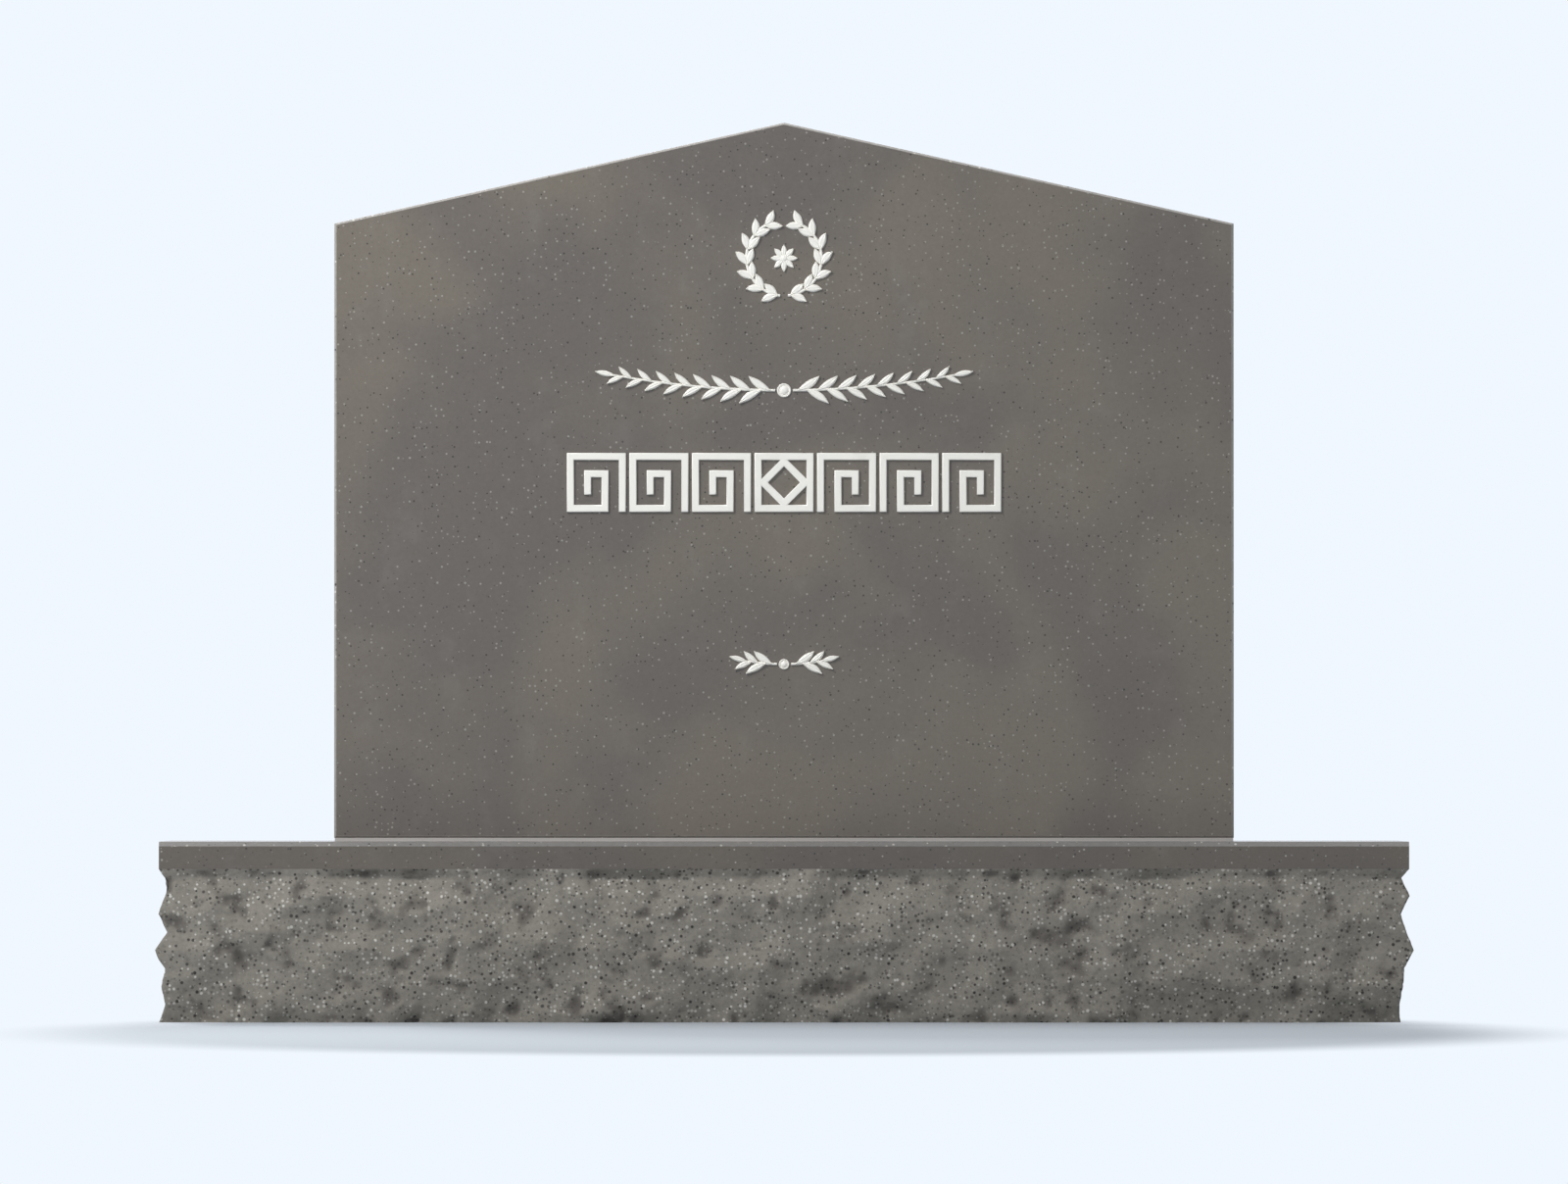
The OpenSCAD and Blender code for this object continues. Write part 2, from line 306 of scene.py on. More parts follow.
def ramp_between(tree, value, low, high):
    """0 where the value is at low and 1 at high, eased at both; low may be above high."""
    return add_node(tree, "ShaderNodeMapRange", {0: value, 1: low, 2: high, 3: 0.0, 4: 1.0},
                    interpolation_type="SMOOTHSTEP").outputs[0]


def noise_value(tree, vector, scale, detail, roughness=0.5, distortion=0.0):
    """A noise's value at the vector, with about that many waves to the metre."""
    return add_node(tree, "ShaderNodeTexNoise", {
        "Vector": vector, "Scale": scale, "Detail": detail, "Roughness": roughness,
        "Distortion": distortion}).outputs[0]


def add_bump(tree, shader, height, strength, distance):
    """Roughens the shader's surface with fine relief from a height."""
    bump = add_node(tree, "ShaderNodeBump", {"Height": height, "Strength": strength,
                                             "Distance": distance})
    feed(tree, shader, {"Normal": bump.outputs[0]})


def new_group(name, inputs, outputs):
    """A shader node group with named sockets, given as (kind, name, default)."""
    tree = bpy.data.node_groups.new(name, "ShaderNodeTree")
    for kind, label, default in inputs:
        socket = tree.interface.new_socket(label, in_out="INPUT", socket_type="NodeSocket" + kind)
        if default is not None:
            socket.default_value = default
    for kind, label in outputs:
        tree.interface.new_socket(label, in_out="OUTPUT", socket_type="NodeSocket" + kind)
    return tree, tree.nodes.new("NodeGroupInput").outputs, tree.nodes.new("NodeGroupOutput").inputs


def place_group(tree, name, values):
    """Places the shared group of that name with its own values."""
    return add_node(tree, "ShaderNodeGroup", node_tree=bpy.data.node_groups[name],
                    inputs=values).outputs


def new_material(name):
    """The material of a finish, with its Principled shader and its Object coordinates."""
    material = bpy.data.materials.new(name + "_finish")
    material.use_nodes = True
    tree = material.node_tree
    shader = tree.nodes["Principled BSDF"]
    place = tree.nodes.new("ShaderNodeTexCoord").outputs["Object"]
    return material, tree, shader, place


# ---- Shared effects ----

def make_crystal_flecks_group():
    """Small round crystals: a mask of the cells that hold one, each of its own strength."""
    tree, inputs, outputs = new_group(
        "Crystal flecks",
        [("Vector", "Vector", None), ("Float", "Spacing", 0.005), ("Float", "Share", 0.5),
         ("Float", "Radius", 0.25), ("Float", "Shift", 0.0)],
        [("Float", "Mask")])
    shifted = add_node(tree, "ShaderNodeVectorMath",
                       {0: inputs["Vector"], 1: inputs["Shift"]}, operation="ADD").outputs[0]
    scale = math_node(tree, "DIVIDE", 1.0, inputs["Spacing"])
    cells = add_node(tree, "ShaderNodeTexVoronoi", {"Vector": shifted, "Scale": scale})
    chance = add_node(tree, "ShaderNodeSeparateColor", {0: cells.outputs["Color"]}).outputs
    held = math_node(tree, "LESS_THAN", chance[0], inputs["Share"])
    # Each crystal has its own size, from 0.6 to 1.4 of the radius, and its own strength
    spread = math_node(tree, "MULTIPLY_ADD", chance[2], 0.8, 0.6)
    radius = math_node(tree, "MULTIPLY", inputs["Radius"], spread)
    soft_edge = math_node(tree, "MULTIPLY", radius, 0.5)
    shape = ramp_between(tree, cells.outputs["Distance"], radius, soft_edge)
    strength = math_node(tree, "MULTIPLY_ADD", chance[1], 0.8, 0.2)
    mask = math_node(tree, "MULTIPLY", math_node(tree, "MULTIPLY", held, shape), strength)
    tree.links.new(mask, outputs["Mask"])


def make_granite_group():
    """Granite's colour: drifting clouds of two tones, crystals, and dark and light flecks."""
    tree, inputs, outputs = new_group(
        "Granite",
        [("Vector", "Vector", None), ("Color", "Tone", (0.2, 0.2, 0.2, 1)),
         ("Color", "Second Tone", (0.1, 0.1, 0.1, 1)), ("Float", "Cloud Size", 0.12),
         ("Float", "Crystal Contrast", 0.1), ("Color", "Dark Fleck", (0, 0, 0, 1)),
         ("Float", "Dark Spacing", 0.005), ("Float", "Dark Share", 0.5),
         ("Color", "Light Fleck", (1, 1, 1, 1)), ("Float", "Light Spacing", 0.005),
         ("Float", "Light Share", 0.5), ("Float", "Fleck Radius", 0.25)],
        [("Color", "Color"), ("Float", "Flecks"), ("Float", "Crystals")])
    cloud_scale = math_node(tree, "DIVIDE", 1.0, inputs["Cloud Size"])
    clouds = noise_value(tree, inputs["Vector"], cloud_scale, detail=2.5, roughness=0.45,
                         distortion=0.3)
    tone = mix_colour(tree, ramp_between(tree, clouds, 0.36, 0.64),
                      inputs["Tone"], inputs["Second Tone"])
    crystals = add_node(tree, "ShaderNodeTexVoronoi",
                        {"Vector": inputs["Vector"], "Scale": 420.0}).outputs["Color"]
    grain = noise_value(tree, inputs["Vector"], scale=900.0, detail=2.0)
    shade = add_node(tree, "ShaderNodeSeparateColor", {0: crystals}).outputs[0]
    blended = math_node(tree, "ADD", math_node(tree, "MULTIPLY", shade, 0.6),
                        math_node(tree, "MULTIPLY", grain, 0.8))
    around_one = math_node(tree, "SUBTRACT", blended, 0.7)
    swing = math_node(tree, "MULTIPLY", around_one, inputs["Crystal Contrast"])
    factor = math_node(tree, "ADD", swing, 1.0)
    crystal_tone = add_node(tree, "ShaderNodeVectorMath", {0: tone, "Scale": factor},
                            operation="SCALE").outputs[0]
    dark = place_group(tree, "Crystal flecks", {
        "Vector": inputs["Vector"], "Spacing": inputs["Dark Spacing"],
        "Share": inputs["Dark Share"], "Radius": inputs["Fleck Radius"], "Shift": 0.37})["Mask"]
    light = place_group(tree, "Crystal flecks", {
        "Vector": inputs["Vector"], "Spacing": inputs["Light Spacing"],
        "Share": inputs["Light Share"], "Radius": inputs["Fleck Radius"], "Shift": 1.91})["Mask"]
    darkened = mix_colour(tree, dark, crystal_tone, inputs["Dark Fleck"])
    tree.links.new(mix_colour(tree, light, darkened, inputs["Light Fleck"]), outputs["Color"])
    tree.links.new(math_node(tree, "MAXIMUM", dark, light), outputs["Flecks"])
    tree.links.new(blended, outputs["Crystals"])


def make_weather_group():
    """Faint streaks and dust, as a mask for colour and a value for roughness."""
    tree, inputs, outputs = new_group(
        "Weather",
        [("Vector", "Vector", None), ("Float", "Amount", 0.3), ("Float", "Streak", 4.0)],
        [("Float", "Mask"), ("Float", "Roughness")])
    stretch = add_node(tree, "ShaderNodeCombineXYZ", {0: inputs["Streak"], 1: inputs["Streak"],
                                                      2: 1.0}).outputs[0]
    drawn_out = add_node(tree, "ShaderNodeVectorMath", {0: inputs["Vector"], 1: stretch},
                         operation="MULTIPLY").outputs[0]
    streaks = noise_value(tree, drawn_out, scale=9.0, detail=4.0)
    dust = noise_value(tree, inputs["Vector"], scale=60.0, detail=5.0)
    both = math_node(tree, "MULTIPLY", ramp_between(tree, streaks, 0.45, 0.75),
                     ramp_between(tree, dust, 0.4, 0.7))
    mask = math_node(tree, "MULTIPLY", both, inputs["Amount"])
    tree.links.new(mask, outputs["Mask"])
    tree.links.new(math_node(tree, "MULTIPLY", mask, 0.5), outputs["Roughness"])


# ---- Finishes ----

def polished_granite(name, colours, warm, cool):
    """Polished stone, its crystals seen through the gloss."""
    material, tree, shader, place = new_material(name)
    stone = place_group(tree, "Granite", {
        "Vector": place, "Tone": warm, "Second Tone": cool, "Cloud Size": 0.15,
        "Crystal Contrast": 0.12, "Dark Fleck": colours.dark_crystal, "Dark Spacing": 0.0042,
        "Dark Share": 0.75, "Light Fleck": colours.light_crystal, "Light Spacing": 0.0046,
        "Light Share": 0.55, "Fleck Radius": 0.2})
    weather = place_group(tree, "Weather", {"Vector": place, "Amount": WEATHER})
    rough = math_node(tree, "MULTIPLY_ADD", stone["Crystals"], 0.06, 0.14)
    feed(tree, shader, {
        "Base Color": mix_colour(tree, weather["Mask"], stone["Color"], colours.honed),
        "Roughness": math_node(tree, "ADD", rough, weather["Roughness"])})
    add_bump(tree, shader, stone["Flecks"], strength=0.06, distance=0.2 * MM)
    return material


def honed_arris(name, colours, tone):
    """Stone rubbed smooth but not polished, and so paler."""
    material, tree, shader, place = new_material(name)
    stone = place_group(tree, "Granite", {
        "Vector": place, "Tone": tone, "Second Tone": tone,
        "Crystal Contrast": 0.22, "Dark Fleck": colours.dark_fleck, "Dark Spacing": 0.005,
        "Dark Share": 0.3, "Light Fleck": colours.light_fleck, "Light Spacing": 0.005,
        "Light Share": 0.5, "Fleck Radius": 0.22})
    feed(tree, shader, {"Base Color": stone["Color"], "Roughness": 0.5})
    return material


def pitched_granite(name, colours):
    """Broken stone, with painted shade in the pits that its mesh records."""
    material, tree, shader, place = new_material(name)
    stone = place_group(tree, "Granite", {
        "Vector": place, "Tone": colours.pitched, "Second Tone": colours.pitched_low,
        "Cloud Size": 0.05, "Crystal Contrast": 0.3, "Dark Fleck": colours.dark_fleck,
        "Dark Spacing": 0.004, "Dark Share": 0.9, "Light Fleck": colours.light_fleck,
        "Light Spacing": 0.0037, "Light Share": 0.5, "Fleck Radius": 0.36})
    hollow = add_node(tree, "ShaderNodeAttribute", attribute_name="hollow").outputs["Fac"]
    # Painted shade: the pits are darkened towards the pit shade colour
    pits = math_node(tree, "MULTIPLY", hollow, PIT_SHADE_STRENGTH, clamp=True)
    feed(tree, shader, {"Base Color": mix_colour(tree, pits, stone["Color"], colours.shaded_pit),
                        "Roughness": 0.85})
    crumbs = noise_value(tree, place, scale=260.0, detail=6.0, roughness=0.65)
    height = math_node(tree, "ADD", crumbs, math_node(tree, "MULTIPLY", stone["Flecks"], 0.35))
    add_bump(tree, shader, height, strength=0.55, distance=0.8 * MM)
    return material


def sawn_granite(name, colours):
    """The underside as it left the saw, with faint parallel marks."""
    material, tree, shader, place = new_material(name)
    stone = place_group(tree, "Granite", {
        "Vector": place, "Tone": colours.pitched, "Second Tone": colours.pitched_low,
        "Cloud Size": 0.15, "Crystal Contrast": 0.2, "Dark Fleck": colours.dark_fleck,
        "Light Fleck": colours.light_fleck})
    feed(tree, shader, {"Base Color": stone["Color"], "Roughness": 0.7})
    marks = add_node(tree, "ShaderNodeTexWave", {"Vector": place, "Scale": 60.0,
                                                 "Distortion": 1.5})
    add_bump(tree, shader, marks.outputs[0], strength=0.2, distance=0.3 * MM)
    return material


def setting_compound(name, colours):
    """Gritty pale compound, a little smeared."""
    material, tree, shader, place = new_material(name)
    grit = noise_value(tree, place, scale=700.0, detail=4.0)
    smear = noise_value(tree, place, scale=25.0, detail=3.0)
    shade = math_node(tree, "MULTIPLY_ADD", math_node(tree, "ADD", grit, smear), 0.22, 0.8)
    toned = add_node(tree, "ShaderNodeVectorMath",
                     {0: tuple(colours.compound[:3]), "Scale": shade}, operation="SCALE")
    feed(tree, shader, {"Base Color": toned.outputs[0], "Roughness": 0.7})
    add_bump(tree, shader, grit, strength=0.4, distance=0.4 * MM)
    return material


def stainless_steel(name):
    """Turned dowel bar, with rings left by the lathe."""
    material, tree, shader, place = new_material(name)
    rings = add_node(tree, "ShaderNodeTexWave", {"Vector": place, "Scale": 500.0},
                     bands_direction="Z").outputs[0]
    feed(tree, shader, {"Base Color": linear(190, 191, 193), "Metallic": 1.0,
                        "Roughness": math_node(tree, "MULTIPLY_ADD", rings, 0.1, 0.3)})
    add_bump(tree, shader, rings, strength=0.2, distance=0.1 * MM)
    return material


def white_enamel(name, colours):
    """Baked enamel, with painted shade in patches low down where it meets the stone, and faint
    weather dust.
    """
    material, tree, shader, place = new_material(name)
    rise = add_node(tree, "ShaderNodeAttribute", attribute_name="rise").outputs["Fac"]
    # Painted shade: darker low on the ornament, near the stone, broken into patches
    low = ramp_between(tree, rise, 0.45, 0.0)
    patches = noise_value(tree, place, scale=180.0, detail=4.0)
    patchy_contact_shade = math_node(tree, "MULTIPLY", low, ramp_between(tree, patches, 0.3, 0.7))
    weather = place_group(tree, "Weather", {"Vector": place, "Amount": WEATHER})
    painted_contact_shade = math_node(tree, "MULTIPLY", patchy_contact_shade, CONTACT_SHADE_SHARE)
    dust_and_shade = math_node(tree, "ADD", painted_contact_shade, weather["Mask"], clamp=True)
    feed(tree, shader, {
        "Base Color": mix_colour(tree, dust_and_shade, colours.enamel, colours.grime_and_shade),
        "Roughness": math_node(tree, "ADD", 0.32, weather["Roughness"])})
    peel = noise_value(tree, place, scale=1200.0, detail=1.0)
    add_bump(tree, shader, peel, strength=0.08, distance=0.1 * MM)
    return material


def finish(name):
    """The finish of that name, made with the shared effects when it is first asked for."""
    known = bpy.data.materials.get(name + "_finish")
    if known:
        return known
    if bpy.data.node_groups.get("Granite") is None:
        make_crystal_flecks_group()
        make_granite_group()
        make_weather_group()
    stone = bpy.context.scene.headstone_granite
    makers = {
        "polished_granite": lambda: polished_granite(name, stone, stone.warm, stone.cool),
        "polished_margin": lambda: polished_granite(name, stone, stone.margin_warm,
                                                    stone.margin_cool),
        "tablet_arris": lambda: honed_arris(name, stone, stone.honed),
        # The base's arris is the honed stone given a darker, painted-shade tone
        "shaded_base_arris": lambda: honed_arris(name, stone, stone.shaded_base_arris),
        "pitched_granite": lambda: pitched_granite(name, stone),
        "sawn_granite": lambda: sawn_granite(name, stone),
        "setting_compound": lambda: setting_compound(name, stone),
        "stainless_steel": lambda: stainless_steel(name),
        "white_enamel": lambda: white_enamel(name, bpy.context.scene.headstone_ornament),
    }
    return makers[name]()


# ---- Mesh helpers ----

def merged_copy(node):
    """A bmesh of a CAD node with its loose triangles joined along their edges."""
    bm = bmesh.new()
    bm.from_mesh(frame["nodes"][node].data)
    bmesh.ops.remove_doubles(bm, verts=bm.verts, dist=SEAM)
    return bm


def flatten_faces(bm):
    """Joins the triangles of each flat face."""
    bmesh.ops.dissolve_limit(bm, angle_limit=FLAT, verts=bm.verts, edges=bm.edges)


def round_edges(bm, edges, radius, segments):
    """Rounds edges off, and brings the normals of the faces up to date."""
    bmesh.ops.bevel(bm, geom=edges, offset=radius, segments=segments, profile=0.5,
                    affect="EDGES", material=-1)
    for face in bm.faces:
        face.normal_update()


def middle(node):
    """The middle of a node's box."""
    low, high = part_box(node)
    return (low + high) / 2


def relief():
    """How far the ornament stands off the tablet."""
    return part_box("tablet")[0].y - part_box("laurel_boss")[0].y


def add_piece(name, bm, finishes, nodes):
    """Makes the bmesh a piece on the stone that stands for those CAD nodes."""
    mesh = bpy.data.meshes.new(name)
    bm.to_mesh(mesh)
    bm.free()
    for one in finishes:
        mesh.materials.append(finish(one))
    piece = bpy.data.objects.new(name, mesh)
    bpy.context.scene.collection.objects.link(piece)
    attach(piece, BODY)
    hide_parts(*nodes)
    return piece


def set_finish(node, name):
    """Gives a CAD node that stays as it is its finish."""
    materials = frame["nodes"][node].data.materials
    for index in range(len(materials)):
        materials[index] = finish(name)


# ---- Tablet ----

class HEADSTONE_OT_tablet(bpy.types.Operator):
    """Make the polished tablet, with a honed and lightly rounded arris"""
    bl_idname = "headstone.tablet"
    bl_label = "Tablet"

    def execute(self, context):
        sizes = context.scene.headstone_stone
        bm = merged_copy("tablet")
        flatten_faces(bm)
        half_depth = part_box("tablet")[1].y
        arris_edges = [
            edge for edge in bm.edges
            if all(half_depth - abs(vert.co.y) < ARRIS_REACH for vert in edge.verts)
            and edge.calc_face_angle(0) > CREASE]
        round_edges(bm, arris_edges, sizes.arris_round, segments=2)
        for face in bm.faces:
            slanted = SLANTED < abs(face.normal.y) < LEVEL
            face.material_index = 1 if slanted else 0
        add_piece("tablet_stone", bm, ["polished_granite", "tablet_arris"],
                  ["tablet"])
        return {"FINISHED"}


# ---- Base ----

def smoothstep(low, high, value):
    """0 up to low and 1 from high, eased between them."""
    t = max(0.0, min(1.0, (value - low) / (high - low)))
    return t * t * (3 - 2 * t)


def rock_depth(place, sizes):
    """How deep the rock face is broken at a place, and how strong its pit's painted shade is."""
    flakes = 1 - abs(noise.noise(place / FLAKE_SIZE, noise_basis="PERLIN_ORIGINAL"))
    pits = noise.noise(place / sizes.pit_size + Vector((7, 3, 5)))
    pits += 0.45 * noise.noise(place / (0.4 * sizes.pit_size))
    shaded_pit = smoothstep(*PIT_RANGE, pits)
    crumbs = noise.turbulence(place / CRUMB_SIZE, 3, False)
    depth = sizes.flake_depth * flakes ** 3 + sizes.pit_depth * shaded_pit + sizes.crumb_depth * crumbs
    return max(0.0, depth), shaded_pit


class HEADSTONE_OT_base(bpy.types.Operator):
    """Make the base: polished top and margin, honed arris, and rock-pitched faces"""
    bl_idname = "headstone.base"
    bl_label = "Base"

    def execute(self, context):
        sizes = context.scene.headstone_stone
        self.tablet_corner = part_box("tablet")[1]
        self.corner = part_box("base")[1]
        arris = self.corner.z - sizes.margin
        bm = merged_copy("base")
        self.join_courses(bm, arris)
        self.divide(bm, arris, sizes)
        self.break_rock(bm, arris, sizes)
        self.paint(bm, arris)
        add_piece("base_stone", bm, BASE_FINISHES, ["base"])
        return {"FINISHED"}

    def pitched_faces(self, bm, arris):
        """The faces below the arris, apart from the underside and the dowel sockets."""
        return [face for face in bm.faces
                if face.calc_center_median().z < arris and abs(face.normal.z) < LEVEL
                and self.is_outer(face)]

    def is_outer(self, face):
        """Whether a face lies outside the tablet's footprint, where the dowel sockets are."""
        centre = face.calc_center_median()
        return abs(centre.x) > self.tablet_corner.x or abs(centre.y) > self.tablet_corner.y

    def join_courses(self, bm, arris):
        """Joins the triangles of the pitched faces, so that they divide evenly."""
        for face in bm.faces:
            face.normal_update()
        bmesh.ops.join_triangles(
            bm, faces=self.pitched_faces(bm, arris), angle_face_threshold=math.pi,
            angle_shape_threshold=math.pi)

    def divide(self, bm, arris, sizes):
        """Divides the pitched faces into small cells, their long edges once more."""
        edges = {edge for face in self.pitched_faces(bm, arris) for edge in face.edges}
        long_edges = [edge for edge in edges if edge.calc_length() > sizes.grain_step]
        bmesh.ops.subdivide_edges(bm, edges=long_edges, cuts=2, use_grid_fill=True)
        edges = {edge for face in self.pitched_faces(bm, arris) for edge in face.edges}
        bmesh.ops.subdivide_edges(bm, edges=list(edges), cuts=2, use_grid_fill=True)

    def break_rock(self, bm, arris, sizes):
        """Breaks flakes, pits, crumbs and spalls into the pitched faces, and records the pits for
        their painted shade.
        """
        hollow = bm.verts.layers.float.new("hollow")
        rock = {vert for face in self.pitched_faces(bm, arris) for vert in face.verts}
        bm.normal_update()
        moves = []
        for vert in rock:
            below = arris - vert.co.z
            if below < SEAM:
                continue
            depth, shaded_pit = rock_depth(vert.co, sizes)
            out = vert.normal.copy()
            out.z = 0
            if abs(out.x) > abs(out.y):
                depth += self.spall(vert.co, sizes)
            depth *= smoothstep(0, ARRIS_FADE, below)
            moves.append((vert, -depth * out.normalized()))
            vert[hollow] = shaded_pit
        for vert, move in moves:
            vert.co += move

    def spall(self, place, sizes):
        """How far a broad spall cuts off the courses at a place, with none at the base's edges."""
        shape = noise.noise(place / SPALL_SIZE + Vector((2, 9, 4)))
        shape += 0.5 * noise.noise(place / SPALL_DETAIL)
        spalled = smoothstep(*SPALL_RANGE, shape)
        cut = max(0.0, abs(place.x) - self.corner.x + sizes.spall_depth * spalled)
        off_corner = smoothstep(0, CORNER_FADE, self.corner.y - abs(place.y))
        return cut * off_corner * smoothstep(0, FOOT_FADE, place.z)

    def paint(self, bm, arris):
        """Gives each face its finish, and keeps the worked edges crisp."""
        rock = set(self.pitched_faces(bm, arris))
        for face in bm.faces:
            face.smooth = face in rock
            if face in rock:
                face.material_index = ROCK
            elif face.normal.z < -LEVEL:
                face.material_index = SAWN
            elif SLANTED < face.normal.z < LEVEL:
                face.material_index = ARRIS
            else:
                face.material_index = MARGIN
        for edge in bm.edges:
            edge.smooth = len({face in rock for face in edge.link_faces}) == 1


# ---- Setting ----

class HEADSTONE_OT_setting(bpy.types.Operator):
    """Finish the bed of setting compound and the two dowels"""
    bl_idname = "headstone.setting"
    bl_label = "Setting"

    def execute(self, context):
        set_finish("setting_joint", "setting_compound")
        for node in ("dowel_left", "dowel_right"):
            set_finish(node, "stainless_steel")
        return {"FINISHED"}


# ---- Ornament, modelled flat with X across the tablet, Y up it and Z out of it ----

def add_ridge(bm, path, width, height, steps, rib=0.0, rim=0.4):
    """Adds a closed ridge along a path: path(t) gives its middle and width(t) its width.

    rim is its height at the sides and rib the depth of the groove along its middle, both as
    a share of its height. A pointed ridge ends a little blunt.
    """
    grid = bmesh.ops.create_grid(bm, x_segments=steps, y_segments=6, size=0.5)
    floor = grid["verts"]
    faces = list({face for vert in floor for face in vert.link_faces})
    top = bmesh.ops.extrude_face_region(bm, geom=faces)["geom"]
    crown = {item for item in top if isinstance(item, bmesh.types.BMVert)}
    bmesh.ops.translate(bm, verts=list(crown), vec=(0, 0, 1))
    shell = list({face for vert in list(crown) + floor for face in vert.link_faces})
    bmesh.ops.recalc_face_normals(bm, faces=shell)
    for vert in list(crown) + floor:
        t = vert.co.x + 0.5
        side = 2 * vert.co.y
        here = path(t)
        ahead = (path(min(1, t + STEP_AHEAD)) - path(max(0, t - STEP_AHEAD))).normalized()
        across = Vector((-ahead.y, ahead.x))
        flat = here + across * (side * max(BLUNT, width(t)) / 2)
        lift = 0.0
        if vert in crown:
            swell = math.sqrt(max(0.0, 1 - side * side))
            groove = rib * max(0.0, 1 - abs(side) / RIB_REACH)
            lift = height * (rim + (1 - rim) * swell) * (1 - groove)
        vert.co = Vector((flat.x, flat.y, lift))


def add_leaf(bm, root, angle, length, width, height, rib, bend=0.06):
    """Adds a pointed leaf from its root, a little bent, with a rib down its middle."""
    turn = Matrix.Rotation(angle, 2)

    def path(t):
        return Vector(root) + turn @ Vector((t * length, bend * length * math.sin(math.pi * t)))

    def leaf_width(t):
        return width * math.sin(math.pi * min(1, max(0, t))) ** 0.85

    add_ridge(bm, path, leaf_width, height, steps=14, rib=rib, rim=0.35)


def add_stem(bm, path, width):
    """Adds a low rounded stem along a path."""
    add_ridge(bm, path, width, STEM_HEIGHT * relief(), steps=STEM_STEPS, rim=STEM_RIM)


def add_dome(bm, radius, height):
    """Adds a ball with its lower half pressed flat, as a dome that lies on the stone."""
    ball = bmesh.ops.create_uvsphere(bm, u_segments=40, v_segments=20, radius=1.0)["verts"]
    for vert in ball:
        vert.co = Vector((radius * vert.co.x, radius * vert.co.y, height * max(0, vert.co.z)))


def add_ring(bm, radius, width, height):
    """Adds a half-round ring that lies on the stone, spun from its section."""
    before = set(bm.faces)
    section = bmesh.ops.create_circle(bm, segments=16, radius=1.0)["verts"]
    for vert in section:
        vert.co = Vector((radius + vert.co.x * width / 2, 0, height * max(0, vert.co.y)))
    edges = list({edge for vert in section for edge in vert.link_edges})
    bmesh.ops.spin(bm, geom=section + edges, cent=(0, 0, 0), axis=(0, 0, 1), dvec=(0, 0, 0),
                   angle=math.tau, steps=48, use_merge=True)
    bmesh.ops.recalc_face_normals(bm, faces=[face for face in bm.faces if face not in before])


def add_disc(bm, radius, height):
    """Adds a flat round plate that lies on the stone."""
    bmesh.ops.create_cone(bm, cap_ends=True, segments=40, radius1=radius, radius2=radius,
                          depth=height, matrix=Matrix.Translation((0, 0, height / 2)))


def onto_tablet(bm, centre, side):
    """Stands flat ornament up against the tablet's front; side -1 turns it left for right."""
    rise = bm.verts.layers.float.new("rise")
    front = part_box("tablet")[0].y
    height = relief()
    for vert in bm.verts:
        vert[rise] = vert.co.z / height
        vert.co = Vector((centre.x + side * vert.co.x, front - vert.co.z, centre.z + vert.co.y))
    if side < 0:
        bmesh.ops.reverse_faces(bm, faces=bm.faces)
    for face in bm.faces:
        face.smooth = True
    for edge in bm.edges:
        edge.smooth = len(edge.link_faces) == 2 and edge.calc_face_angle(0) < SHARP_EDGE


def add_cast(bm, node, centre, side):
    """Makes flat ornament the enamelled piece that stands for a node."""
    onto_tablet(bm, centre, side)
    add_piece(node + "_cast", bm, ["white_enamel"], [node])


def on_circle(radius, angle):
    """The point at an angle on a circle round the middle."""
    return radius * Vector((math.cos(angle), math.sin(angle)))


def add_spray(bm, length, rise, pairs, leaf, width, start, rib):
    """Adds a curved stem from start to its tip, with pairs of leaves that shrink outwards."""
    height = relief()
    first = start + FIRST_LEAF
    last = length - SPRAY_END * leaf
    thick, thin = SPRAY_STEM

    def curve(x):
        return Vector((x, rise * (x / length) ** 2))

    def slope(x):
        return math.atan(2 * rise * x / length ** 2)

    add_stem(bm, lambda t: curve(start + t * (last - start)), lambda t: thick + t * (thin - thick))
    for index in range(pairs):
        size = 1 - SPRAY_TAPER * index / pairs
        for side in (-1, 1):
            stagger = 0 if side > 0 else SPRAY_STAGGER
            x = first + (index + stagger) * (last - first) / pairs
            add_leaf(bm, curve(x), slope(x) + side * SPRAY_FLARE, leaf * size,
                     width * size, height, rib, bend=-0.05 * side)
    tip = last - TIP_OVERLAP
    add_leaf(bm, curve(tip), slope(length), length - tip, TIP_WIDTH * width, height, rib, bend=0)


